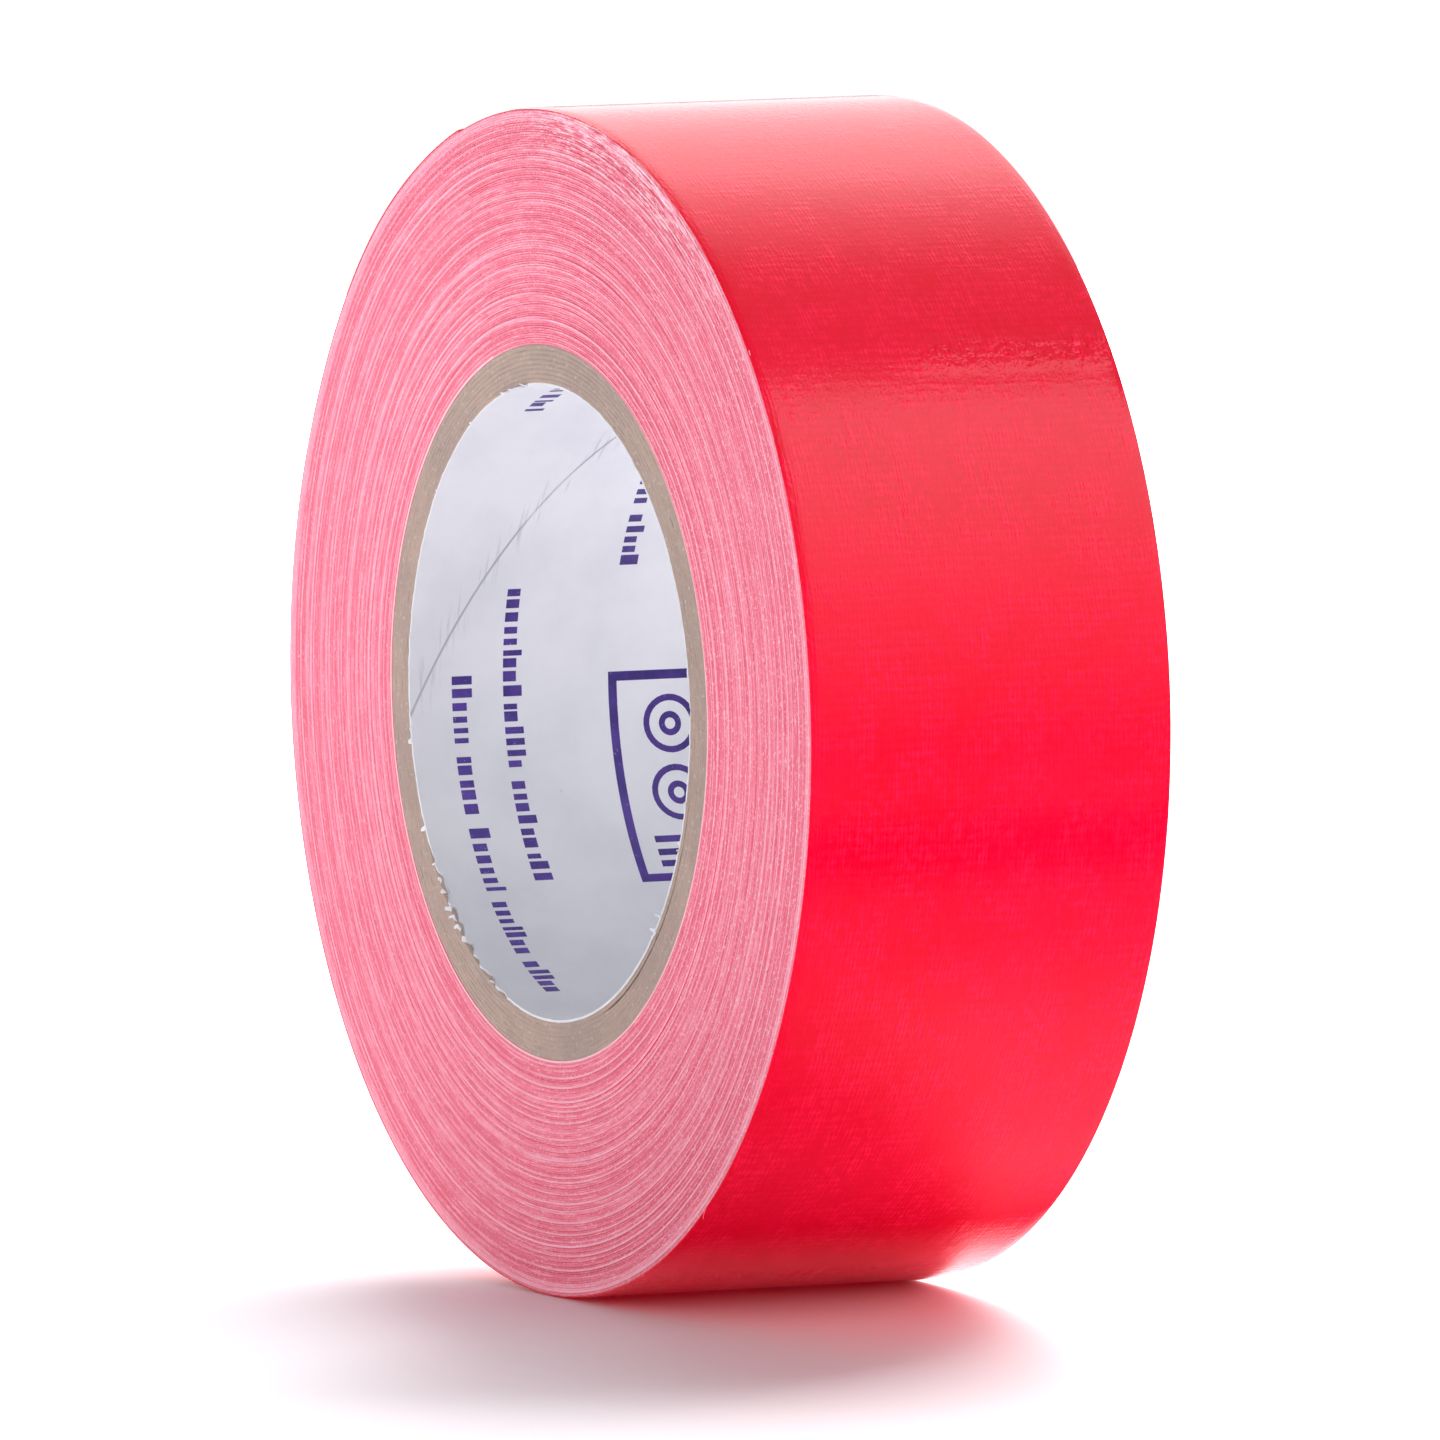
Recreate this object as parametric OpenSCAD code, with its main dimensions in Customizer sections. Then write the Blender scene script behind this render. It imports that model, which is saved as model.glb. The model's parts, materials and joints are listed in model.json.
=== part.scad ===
// Duct tape roll: cloth tape wound on a spiral-wound board core.
// The roll stands on its rim with its axis along Y. The origin is the centre of the bore.
// Angles round the roll start at +X and turn towards +Z.

/* [Core] */
// Diameter of the hole through the core
bore_d = 76.2; // [50:0.1:100]
// Thickness of the smooth paper liner in the bore
liner_t = 0.3; // [0.2:0.05:0.5]
// Thickness of each board ply
ply_t = 0.575; // [0.3:0.025:0.8]

/* [Tape] */
// Width of the tape and of the whole roll
tape_w = 47.75; // [24:0.25:72]
// Thickness of the glossy film on the outside of the tape
film_t = 0.1; // [0.05:0.01:0.2]
// Thickness of the cloth in the middle of the tape
cloth_t = 0.06; // [0.04:0.01:0.12]
// Thickness of the adhesive on the inside of the tape
adhesive_t = 0.125; // [0.08:0.005:0.2]
// Turns of tape in each of the eleven groups under the outer turn
group_turns = 9; // [4:1:12]

/* [Tail] */
// Angle at which the free end of the tape lies
tail_end = 110; // [95:1:125]
// Angle that each hinged length of the tail covers
tail_step = 15; // [8:1:18]
// Gap at each fold line between two lengths of the tail
fold_gap = 0.3; // [0.1:0.05:0.5]
// Clearance between the tail and the turn that it lies on
tail_clearance = 0.05; // [0.02:0.01:0.07]

/* [Hidden] */
$fn = 240;

ply_count = 8;
group_count = 11;
tail_count = 4;
tape_t = film_t + cloth_t + adhesive_t;
core_r = bore_d / 2 + liner_t + ply_count * ply_t;
roll_r = core_r + (group_count * group_turns + 1) * tape_t;
tail_root = tail_end + tail_count * tail_step;
gap_angle = fold_gap / roll_r * 180 / PI;
// Depth by which the first turns reach into the core before they are cut to it
core_cut = 1;

film_red = [0.93, 0.05, 0.16];
cloth_rose = [0.93, 0.52, 0.58];
adhesive_pink = [0.96, 0.68, 0.72];
edge_pink = [0.97, 0.55, 0.64];
edge_rose = [0.90, 0.42, 0.52];
board_grey = [0.67, 0.58, 0.52];
board_brown = [0.60, 0.51, 0.45];
liner_white = [0.88, 0.89, 0.93];

// Turns a shape drawn round Z so that its axis lies along Y
module upright() {
    rotate([90, 0, 0]) children();
}

// A curved sheet of the tape's full width, from the +X side round through an angle
module arc_sheet(inner_r, outer_r, angle) {
    rotate_extrude(angle = angle)
        translate([inner_r, -tape_w / 2])
            square([outer_r - inner_r, tape_w]);
}

module core_tube(inner_r, wall) {
    upright() arc_sheet(inner_r, inner_r + wall, 360);
}

module core_liner() {
    color(liner_white) core_tube(bore_d / 2, liner_t);
}

module core_ply(number) {
    color(number % 2 == 0 ? board_grey : board_brown)
        core_tube(bore_d / 2 + liner_t + (number - 1) * ply_t, ply_t);
}

// The half of each turn that ends under the tail. Its centre is half a thickness away
// from the bore's, so that every whole turn brings the tape in by one thickness.
module closing_half(inner_r, outer_r) {
    translate([-tape_t / 2, 0, 0])
        rotate([0, 0, 180])
            arc_sheet(inner_r - tape_t / 2, outer_r - tape_t / 2, 180);
}

// Whole turns of tape between two radii, which are measured where the free end lies
module wound_turns(inner_r, outer_r) {
    arc_sheet(inner_r, outer_r, 180);
    closing_half(inner_r, outer_r);
}

// Group 1 starts below the core's surface and is then cut to the round core
module tape_turns(group) {
    inner_r = core_r + (group - 1) * group_turns * tape_t;
    outer_r = core_r + group * group_turns * tape_t;
    color(group % 2 == 0 ? edge_rose : edge_pink)
        upright()
            rotate([0, 0, tail_end])
                if (group == 1)
                    difference() {
                        wound_turns(inner_r - core_cut, outer_r);
                        cylinder(r = core_r, h = 2 * tape_w, center = true);
                    }
                else
                    wound_turns(inner_r, outer_r);
}

// One layer of the outer turn. The stretch that the tail takes up is cut away.
module outer_turn_layer(inner_r, outer_r) {
    upright()
        rotate([0, 0, tail_end]) {
            difference() {
                arc_sheet(inner_r, outer_r, 180);
                rotate([0, 0, -tail_step])
                    arc_sheet(inner_r - tape_t, outer_r + tape_t, (tail_count + 1) * tail_step);
            }
            closing_half(inner_r, outer_r);
        }
}

module outer_turn_film() {
    color(film_red) outer_turn_layer(roll_r - film_t, roll_r);
}

module outer_turn_cloth() {
    color(cloth_rose) outer_turn_layer(roll_r - film_t - cloth_t, roll_r - film_t);
}

module outer_turn_adhesive() {
    color(adhesive_pink) outer_turn_layer(roll_r - tape_t, roll_r - film_t - cloth_t);
}

// One layer of a hinged length of the tail. Length 1 is next to the outer turn.
module tail_layer(number, inner_r, outer_r) {
    upright()
        rotate([0, 0, tail_root - number * tail_step])
            arc_sheet(inner_r, outer_r, tail_step - gap_angle);
}

module tail_film(number) {
    color(film_red) tail_layer(number, roll_r - film_t, roll_r);
}

module tail_cloth(number) {
    color(cloth_rose) tail_layer(number, roll_r - film_t - cloth_t, roll_r - film_t);
}

module tail_adhesive(number) {
    color(adhesive_pink)
        tail_layer(number, roll_r - tape_t + tail_clearance, roll_r - film_t - cloth_t);
}

core_liner();
core_ply(1);  // core_ply_1
core_ply(2);  // core_ply_2
core_ply(3);  // core_ply_3
core_ply(4);  // core_ply_4
core_ply(5);  // core_ply_5
core_ply(6);  // core_ply_6
core_ply(7);  // core_ply_7
core_ply(8);  // core_ply_8
tape_turns(1);  // tape_turns_01_09
tape_turns(2);  // tape_turns_10_18
tape_turns(3);  // tape_turns_19_27
tape_turns(4);  // tape_turns_28_36
tape_turns(5);  // tape_turns_37_45
tape_turns(6);  // tape_turns_46_54
tape_turns(7);  // tape_turns_55_63
tape_turns(8);  // tape_turns_64_72
tape_turns(9);  // tape_turns_73_81
tape_turns(10);  // tape_turns_82_90
tape_turns(11);  // tape_turns_91_99
outer_turn_film();
outer_turn_cloth();
outer_turn_adhesive();
tail_film(1);  // tail_1_film
tail_cloth(1);  // tail_1_cloth
tail_adhesive(1);  // tail_1_adhesive
tail_film(2);  // tail_2_film
tail_cloth(2);  // tail_2_cloth
tail_adhesive(2);  // tail_2_adhesive
tail_film(3);  // tail_3_film
tail_cloth(3);  // tail_3_cloth
tail_adhesive(3);  // tail_3_adhesive
tail_film(4);  // tail_4_film
tail_cloth(4);  // tail_4_cloth
tail_adhesive(4);  // tail_4_adhesive
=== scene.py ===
import json
import math
import random

import bmesh
import bpy
from mathutils import Matrix, Vector, noise

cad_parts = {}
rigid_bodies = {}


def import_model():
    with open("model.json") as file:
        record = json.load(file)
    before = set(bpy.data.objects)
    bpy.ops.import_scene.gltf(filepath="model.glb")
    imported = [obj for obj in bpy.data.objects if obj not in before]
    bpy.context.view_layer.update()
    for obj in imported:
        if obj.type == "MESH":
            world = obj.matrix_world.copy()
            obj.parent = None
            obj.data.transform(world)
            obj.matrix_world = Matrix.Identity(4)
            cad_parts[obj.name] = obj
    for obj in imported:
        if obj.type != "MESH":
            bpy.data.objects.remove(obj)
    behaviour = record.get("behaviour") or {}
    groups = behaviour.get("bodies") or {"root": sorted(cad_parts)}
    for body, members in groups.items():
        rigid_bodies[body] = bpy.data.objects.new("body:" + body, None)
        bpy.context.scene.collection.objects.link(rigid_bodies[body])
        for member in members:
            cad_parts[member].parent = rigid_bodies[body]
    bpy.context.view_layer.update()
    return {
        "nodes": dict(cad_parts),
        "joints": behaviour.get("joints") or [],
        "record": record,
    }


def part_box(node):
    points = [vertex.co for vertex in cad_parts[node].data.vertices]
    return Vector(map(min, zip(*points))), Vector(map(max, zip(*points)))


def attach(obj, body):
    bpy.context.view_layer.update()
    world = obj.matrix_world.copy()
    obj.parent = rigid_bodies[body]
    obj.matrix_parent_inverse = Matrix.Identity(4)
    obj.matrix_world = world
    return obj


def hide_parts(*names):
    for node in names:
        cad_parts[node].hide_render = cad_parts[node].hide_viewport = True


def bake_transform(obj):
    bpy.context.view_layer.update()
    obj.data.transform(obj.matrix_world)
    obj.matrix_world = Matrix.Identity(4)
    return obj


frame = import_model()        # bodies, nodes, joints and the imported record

scene = bpy.context.scene
mm = 0.001

# sizes and angles of the roll, from the frame. Angles start at +X and turn towards +Z
mounts = {mount["name"]: mount for mount in frame["record"]["mounts"]}
foldPoints = [Vector(joint["pos_m"]) for joint in frame["joints"]]
foldAngles = [math.degrees(math.atan2(point.z, point.x)) for point in foldPoints]
foldStep = foldAngles[0] - foldAngles[1]
tailRoot = foldAngles[0]
tailEnd = foldAngles[-1] - foldStep
boreR = mounts["core_bore"]["dims"]["r_mm"] * mm
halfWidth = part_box("core_liner")[1].y
rollR = foldPoints[0].length
plyNames = sorted(name for name in frame["nodes"] if name.startswith("core_ply"))
groupNames = sorted(name for name in frame["nodes"] if name.startswith("tape_turns"))
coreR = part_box(plyNames[-1])[1].z
groupTurns = 9
lastTurn = groupTurns * len(groupNames)
tapeT = (rollR - coreR) / (lastTurn + 1)
filmT, clothT = 0.1 * mm, 0.06 * mm
linerT = 0.3 * mm
tailClearance = 0.05 * mm

# how far the wound tape is from a true cylinder: angle, width in degrees, height
windingShape = [
    (360, 50, -0.62 * mm),     # the side that was pressed in a shelf
    (131, 9, 0.22 * mm),       # the corner it was dropped on, with a flat after it
    (110, 34, 0.22 * mm),
    (153, 9, -0.16 * mm),
]


def rimPoint(radius, angle, y):
    turn = math.radians(angle)
    return Vector((radius * math.cos(turn), y, radius * math.sin(turn)))


def polarOf(co, fromAngle):
    # radius, and angle counted on from fromAngle
    angle = math.degrees(math.atan2(co.z, co.x))
    while angle < fromAngle - 0.005:
        angle += 360
    return math.hypot(co.x, co.z), angle


def bump(distance, width):
    return math.exp(-(distance / width) ** 2)


def ringNoise(angle, turns, seed):
    # noise that closes on itself round the roll
    turn = math.radians(angle)
    return noise.noise(Vector((math.cos(turn) * turns, math.sin(turn) * turns, seed)))


swellFound = {}


def swellAt(angle):
    # worked out once for each hundredth of a degree
    key = round(angle, 2)
    if key not in swellFound:
        parts = [height * bump((angle - at + 180) % 360 - 180, width) for at, width, height in windingShape]
        swellFound[key] = sum(parts)
    return swellFound[key]


def windIn(radius, angle):
    # the half of each turn that closes under the tail comes in by one thickness
    past = angle - (tailEnd + 180)
    if past > 0:
        radius = max(coreR, radius - tapeT / 2 * (1 - math.cos(math.radians(past))))
    share = (radius - coreR) / (rollR - coreR)
    return radius + swellAt(angle) * max(0, share)


def sweepProfile(points, fromAngle, sweep, steps):
    # a closed outline of (radius, y) points, spun round the roll's axis
    bm = bmesh.new()
    verts = [bm.verts.new(rimPoint(radius, fromAngle, y)) for radius, y in points]
    edges = [bm.edges.new((verts[i - 1], verts[i])) for i in range(len(verts))]
    whole = sweep == 360
    made = bmesh.ops.spin(bm, geom=verts + edges, cent=(0, 0, 0), axis=(0, -1, 0),
                          dvec=(0, 0, 0), angle=math.radians(sweep), steps=steps,
                          use_merge=whole, use_normal_flip=False, use_duplicate=False)
    if not whole:
        lastEdges = [e for e in made["geom_last"] if isinstance(e, bmesh.types.BMEdge)]
        for outline in (edges, lastEdges):
            bmesh.ops.contextual_create(bm, geom=outline)
    bmesh.ops.recalc_face_normals(bm, faces=bm.faces)
    return bm


def wallProfile(innerR, outerR, halfY, outerCuts, innerCuts, sideCuts):
    # a rectangle of (radius, y) points with each side divided
    points = []
    points += [(outerR, -halfY + 2 * halfY * i / outerCuts) for i in range(outerCuts)]
    points += [(outerR + (innerR - outerR) * i / sideCuts, halfY) for i in range(sideCuts)]
    points += [(innerR, halfY - 2 * halfY * i / innerCuts) for i in range(innerCuts)]
    points += [(innerR + (outerR - innerR) * i / sideCuts, -halfY) for i in range(sideCuts)]
    return points


def layUv(bm, fromAngle):
    # along the tape and across it, in millimetres
    uvLayer = bm.loops.layers.uv.new("tapeUv")
    for face in bm.faces:
        centreAngle = polarOf(face.calc_center_median(), fromAngle)[1]
        for loop in face.loops:
            radius, angle = polarOf(loop.vert.co, fromAngle)
            angle -= 360 * round((angle - centreAngle) / 360)
            loop[uvLayer].uv = (math.radians(angle) * radius / mm, loop.vert.co.y / mm)


def finishPiece(name, bm, materials, sharpAngle=35):
    mesh = bpy.data.meshes.new(name)
    bm.to_mesh(mesh)
    bm.free()
    for material in materials:
        mesh.materials.append(material)
    mesh.polygons.foreach_set("use_smooth", [True] * len(mesh.polygons))
    mesh.set_sharp_from_angle(angle=math.radians(sharpAngle))
    piece = bpy.data.objects.new(name, mesh)
    scene.collection.objects.link(piece)
    return piece


# shader helpers and the effects that materials share

def link(tree, source, target):
    tree.links.new(source, target)


def addNode(tree, kind, **values):
    node = tree.nodes.new(kind)
    for key, value in values.items():
        setattr(node, key, value)
    return node


def mathNode(tree, operation, first, second=None, third=None):
    node = addNode(tree, "ShaderNodeMath", operation=operation)
    for socket, value in zip(node.inputs, (first, second, third)):
        if value is None:
            continue
        if isinstance(value, (int, float)):
            socket.default_value = value
        else:
            link(tree, value, socket)
    return node.outputs[0]


def times(tree, first, second):
    return mathNode(tree, "MULTIPLY", first, second)


def timesPlus(tree, first, second, third):
    return mathNode(tree, "MULTIPLY_ADD", first, second, third)


def separated(tree, vector):
    node = addNode(tree, "ShaderNodeSeparateXYZ")
    link(tree, vector, node.inputs[0])
    return node.outputs


def stretched(tree, vector, scale, turn=0.0):
    # a pattern's coordinates, drawn out along or across
    node = addNode(tree, "ShaderNodeMapping", vector_type="POINT")
    node.inputs["Scale"].default_value = scale
    node.inputs["Rotation"].default_value = (0, 0, turn)
    link(tree, vector, node.inputs["Vector"])
    return node.outputs[0]


def noiseNode(tree, vector, scale, detail=3.0, roughness=0.55):
    node = addNode(tree, "ShaderNodeTexNoise")
    node.inputs["Scale"].default_value = scale
    node.inputs["Detail"].default_value = detail
    node.inputs["Roughness"].default_value = roughness
    link(tree, vector, node.inputs["Vector"])
    return node.outputs["Fac"]


def rangeNode(tree, value, low, high, toLow=0.0, toHigh=1.0, kind="SMOOTHSTEP"):
    node = addNode(tree, "ShaderNodeMapRange", interpolation_type=kind)
    link(tree, value, node.inputs["Value"])
    for key, number in (("From Min", low), ("From Max", high), ("To Min", toLow), ("To Max", toHigh)):
        node.inputs[key].default_value = number
    return node.outputs["Result"]


def mixColour(tree, factor, first, second):
    node = addNode(tree, "ShaderNodeMix", data_type="RGBA")
    link(tree, factor, node.inputs["Factor"])
    for socket, value in ((node.inputs[6], first), (node.inputs[7], second)):
        if isinstance(value, tuple):
            socket.default_value = (*value, 1)
        else:
            link(tree, value, socket)
    return node.outputs[2]


def newGroup(name, inputs, outputs):
    group = bpy.data.node_groups.new(name, "ShaderNodeTree")
    for socketName, kind, value in inputs:
        socket = group.interface.new_socket(socketName, in_out="INPUT", socket_type=kind)
        if value is not None:
            socket.default_value = value
    for socketName, kind in outputs:
        group.interface.new_socket(socketName, in_out="OUTPUT", socket_type=kind)
    return group, addNode(group, "NodeGroupInput"), addNode(group, "NodeGroupOutput")


def useGroup(tree, group, vector, **values):
    node = addNode(tree, "ShaderNodeGroup")
    node.node_tree = group
    link(tree, vector, node.inputs["Vector"])
    for key, value in values.items():
        node.inputs[key].default_value = value
    return node.outputs


def weaveGroup():
    # threads of the cloth: warp runs along the tape, weft across it
    group, source, sink = newGroup(
        "weave", [("Vector", "NodeSocketVector", None), ("Warp", "NodeSocketFloat", 0.55),
                  ("Weft", "NodeSocketFloat", 1.15), ("Wander", "NodeSocketFloat", 0.5)],
        [("Height", "NodeSocketFloat")])
    vector = source.outputs["Vector"]
    parts = separated(group, vector)
    warpDrift = noiseNode(group, stretched(group, vector, (0.12, 0.7, 1)), 1.0, 2.0)
    weftDrift = noiseNode(group, stretched(group, vector, (0.7, 0.10, 1)), 1.0, 2.0)

    def threads(position, pitch, offset):
        moved = timesPlus(group, offset, source.outputs["Wander"], position)
        turns = mathNode(group, "DIVIDE", moved, pitch)
        wave = mathNode(group, "SINE", times(group, turns, 2 * math.pi))
        return timesPlus(group, wave, 0.5, 0.5)

    warp = threads(parts["Y"], source.outputs["Warp"], warpDrift)
    weft = threads(parts["X"], source.outputs["Weft"], weftDrift)
    patch = noiseNode(group, vector, 0.16, 3.0)
    slub = noiseNode(group, vector, 0.85, 3.0, 0.6)
    patches = rangeNode(group, patch, 0.36, 0.62, 0.3, 1.0)
    shown = times(group, patches, rangeNode(group, slub, 0.35, 0.65, 0.25, 1.3))
    both = timesPlus(group, weft, 0.38, times(group, warp, 0.62))
    link(group, times(group, both, shown), sink.inputs["Height"])
    return group


def ringGroup():
    # streaks that follow the turns on the side of the roll, in object space
    group, source, sink = newGroup(
        "turnStreaks", [("Vector", "NodeSocketVector", None), ("Along", "NodeSocketFloat", 16.0),
                        ("Across", "NodeSocketFloat", 4.0)], [("Streak", "NodeSocketFloat")])
    parts = separated(group, source.outputs["Vector"])
    squares = times(group, parts["X"], parts["X"])
    squares = timesPlus(group, parts["Z"], parts["Z"], squares)
    radius = mathNode(group, "SQRT", squares)
    radiusMm = times(group, radius, 1000.0)
    joined = addNode(group, "ShaderNodeCombineXYZ")
    for axis, target in (("X", "X"), ("Z", "Y")):
        unit = mathNode(group, "DIVIDE", parts[axis], radius)
        link(group, times(group, unit, source.outputs["Along"]), joined.inputs[target])
    link(group, times(group, radiusMm, source.outputs["Across"]), joined.inputs["Z"])
    link(group, noiseNode(group, joined.outputs[0], 1.0, 3.0, 0.6), sink.inputs["Streak"])
    return group


weave = weaveGroup()
turnStreaks = ringGroup()


def newMaterial(name, roughness, **sockets):
    material = bpy.data.materials.new(name)
    material.use_nodes = True
    tree = material.node_tree
    shader = tree.nodes["Principled BSDF"]
    shader.inputs["Roughness"].default_value = roughness
    for key, value in sockets.items():
        shader.inputs[key].default_value = value
    return material, tree, shader


def addBump(tree, shader, height, distance):
    node = addNode(tree, "ShaderNodeBump")
    node.inputs["Strength"].default_value = 1.0
    node.inputs["Distance"].default_value = distance
    link(tree, height, node.inputs["Height"])
    link(tree, node.outputs["Normal"], shader.inputs["Normal"])


def objectVector(tree):
    return addNode(tree, "ShaderNodeTexCoord").outputs["Object"]


def uvVector(tree):
    return addNode(tree, "ShaderNodeUVMap", uv_map="tapeUv").outputs["UV"]


filmLook = {
    "red": (0.80, 0.0008, 0.026), "deepRed": (0.74, 0.0002, 0.019), "threadRed": (0.97, 0.0060, 0.055),
    "speckRed": (0.36, 0.0, 0.008), "roughness": (0.03, 0.08),
    "weaveDepth": 0.021 * mm, "creaseDepth": 0.011 * mm, "drawnDepth": 0.010 * mm,
    # a line of small blisters across the tape: angle, width along it, y where it starts, depth
    "blisterAngle": 396.4, "blisterWide": 3.6, "blisterFrom": -6.0, "blisterDepth": 0.22 * mm,
}


def filmMaterial():
    look = filmLook
    material, tree, shader = newMaterial("redFilm", 0.1, IOR=1.5)
    uv = uvVector(tree)
    threads = useGroup(tree, weave, uv, Warp=0.54, Weft=1.1, Wander=1.6)
    cloud = noiseNode(tree, uv, 0.05, 2.0)
    colour = mixColour(tree, rangeNode(tree, cloud, 0.35, 0.7), look["red"], look["deepRed"])
    # the threads show through the film: their tops carry a painted highlight and the gaps between them
    # painted shade, standing in for the light and shade of the weave's relief
    colour = mixColour(tree, threads["Height"], colour, look["threadRed"])
    parts = separated(tree, uv)
    lineAlong = math.radians(look["blisterAngle"]) * rollR / mm
    fromLine = mathNode(tree, "ABSOLUTE", mathNode(tree, "ADD", parts["X"], -lineAlong))
    onLine = rangeNode(tree, fromLine, look["blisterWide"], look["blisterWide"] * 0.3)
    onLine = times(tree, onLine, rangeNode(tree, parts["Y"], look["blisterFrom"], 3.0))
    speck = noiseNode(tree, uv, 1.5, 3.0, 0.7)
    speck = timesPlus(tree, onLine, 0.09, speck)
    colour = mixColour(tree, rangeNode(tree, speck, 0.68, 0.78, 0.0, 0.6), colour, look["speckRed"])
    link(tree, colour, shader.inputs["Base Color"])
    scuff = noiseNode(tree, uv, 0.9, 5.0, 0.65)
    low, high = look["roughness"]
    link(tree, rangeNode(tree, scuff, 0.40, 0.70, low, high), shader.inputs["Roughness"])
    # fine grain, dents, and streaks across the tape where it was drawn tight
    grain = noiseNode(tree, uv, 2.6, 3.0, 0.6)
    height = timesPlus(tree, grain, 1.1, threads["Height"])
    crease = noiseNode(tree, uv, 0.5, 2.0)
    height = timesPlus(tree, crease, look["creaseDepth"] / look["weaveDepth"], height)
    streak = noiseNode(tree, stretched(tree, uv, (1.1, 0.06, 1)), 1.0, 3.0, 0.6)
    height = timesPlus(tree, streak, look["drawnDepth"] / look["weaveDepth"], height)
    blister = times(tree, onLine, noiseNode(tree, uv, 0.7, 2.0, 0.6))
    height = timesPlus(tree, blister, look["blisterDepth"] / look["weaveDepth"], height)
    addBump(tree, shader, height, look["weaveDepth"])
    return material


edgeLook = {
    # besides their own colours, pale is also a painted highlight on proud turns, rose painted shade on
    # sunken turns, dark painted shade in gaps between turns, and film painted shade in the gaps of frayed
    # ends
    "base": (0.80, 0.192, 0.285), "rose": (0.71, 0.130, 0.205), "pale": (0.87, 0.42, 0.52),
    "lint": (0.90, 0.62, 0.69), "film": (0.66, 0.045, 0.10), "dark": (0.26, 0.05, 0.09),
    "fuzzDepth": 0.06 * mm,
    "frayedAt": 431.0, "frayedTurns": 30,    # millimetres along the tape from +X, and turns from the rim
}


def edgeMaterial():
    # the cut edges of the turns: red film, cloth ends and adhesive, with lint, painted shade in small gaps,
    # and painted highlight and shade on turns that stand out or sit back
    look = edgeLook
    material, tree, shader = newMaterial("tapeEdge", 0.7)
    uv = uvVector(tree)
    along, turns, _ = separated(tree, uv)
    turn = mathNode(tree, "FLOOR", turns)
    across = mathNode(tree, "FRACT", turns)

    def inTurns(alongScale, acrossScale, ownScale, detail=3.0):
        # noise that is stretched along the tape and starts afresh in each turn
        joined = addNode(tree, "ShaderNodeCombineXYZ")
        link(tree, times(tree, along, alongScale), joined.inputs["X"])
        link(tree, times(tree, turns, acrossScale), joined.inputs["Y"])
        link(tree, times(tree, turn, ownScale), joined.inputs["Z"])
        return noiseNode(tree, joined.outputs[0], 1.0, detail, 0.6)

    tone = addNode(tree, "ShaderNodeAttribute", attribute_name="tone").outputs["Fac"]
    proud = addNode(tree, "ShaderNodeAttribute", attribute_name="proud").outputs["Fac"]
    place = objectVector(tree)
    rubbed = rangeNode(tree, separated(tree, place)["X"], -0.03, 0.05, 0.30, 1.0)
    run = inTurns(0.25, 0.35, 3.7)
    mixed = timesPlus(tree, run, 1.2, timesPlus(tree, tone, 0.5, -0.35))
    colour = mixColour(tree, rangeNode(tree, mixed, 0.22, 0.62), look["rose"], look["base"])
    colour = mixColour(tree, rangeNode(tree, mixed, 0.45, 0.85, 0.0, 0.6), colour, look["pale"])
    filmLine = times(tree, rangeNode(tree, across, 0.66, 0.78), rangeNode(tree, across, 1.0, 0.9))
    colour = mixColour(tree, times(tree, filmLine, 0.30), colour, look["film"])
    # painted highlight on turns that stand proud, stronger towards +X, and painted shade on turns that sit
    # back
    marked = timesPlus(tree, rubbed, 0.5, 0.5)
    proudHighlight = times(tree, marked, rangeNode(tree, proud, 0.58, 0.90, 0.0, 0.8))
    colour = mixColour(tree, proudHighlight, colour, look["pale"])
    colour = mixColour(tree, rangeNode(tree, proud, 0.44, 0.20, 0.0, 0.5), colour, look["rose"])
    tuft = inTurns(1.5, 0.8, 9.1)
    tuftPale = times(tree, marked, rangeNode(tree, tuft, 0.55, 0.72, 0.0, 0.62))
    colour = mixColour(tree, tuftPale, colour, look["lint"])
    # painted shade: dark dashes in the air gaps between turns
    gap = inTurns(0.95, 1.1, 5.3)
    colour = mixColour(tree, rangeNode(tree, gap, 0.35, 0.26, 0.0, 0.32), colour, look["dark"])
    # the side that was rubbed in handling is fuzzier, and so are the outer turns
    grain = noiseNode(tree, place, 2300.0, 3.0, 0.7)
    outerFuzz = rangeNode(tree, turns, lastTurn - 22, lastTurn - 4, 0.0, 0.35)
    fuzz = mathNode(tree, "ADD", rubbed, outerFuzz)
    fuzzPale = times(tree, fuzz, rangeNode(tree, grain, 0.54, 0.72, 0.0, 0.62))
    fuzzRose = times(tree, fuzz, rangeNode(tree, grain, 0.44, 0.28, 0.0, 0.45))
    colour = mixColour(tree, fuzzPale, colour, look["lint"])
    colour = mixColour(tree, fuzzRose, colour, look["rose"])
    rim = rangeNode(tree, turns, lastTurn - 7, lastTurn - 1, 0.0, 0.25)
    colour = mixColour(tree, rim, colour, look["pale"])
    # the loose turns are frayed: pale ends of cloth, with painted shade in the deeper gaps between them
    fromLoose = mathNode(tree, "ADD", along, -look["frayedAt"])
    frayed = rangeNode(tree, mathNode(tree, "ABSOLUTE", fromLoose), 34.0, 6.0)
    outer = rangeNode(tree, turns, lastTurn - look["frayedTurns"], lastTurn - 6)
    frayed = times(tree, frayed, outer)
    fray = inTurns(0.55, 0.55, 2.3, 4.0)
    palePart = times(tree, frayed, rangeNode(tree, fray, 0.48, 0.62, 0.0, 0.85))
    frayGapShade = times(tree, frayed, rangeNode(tree, fray, 0.46, 0.36, 0.0, 0.7))
    colour = mixColour(tree, palePart, colour, look["lint"])
    colour = mixColour(tree, frayGapShade, colour, look["film"])
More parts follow.
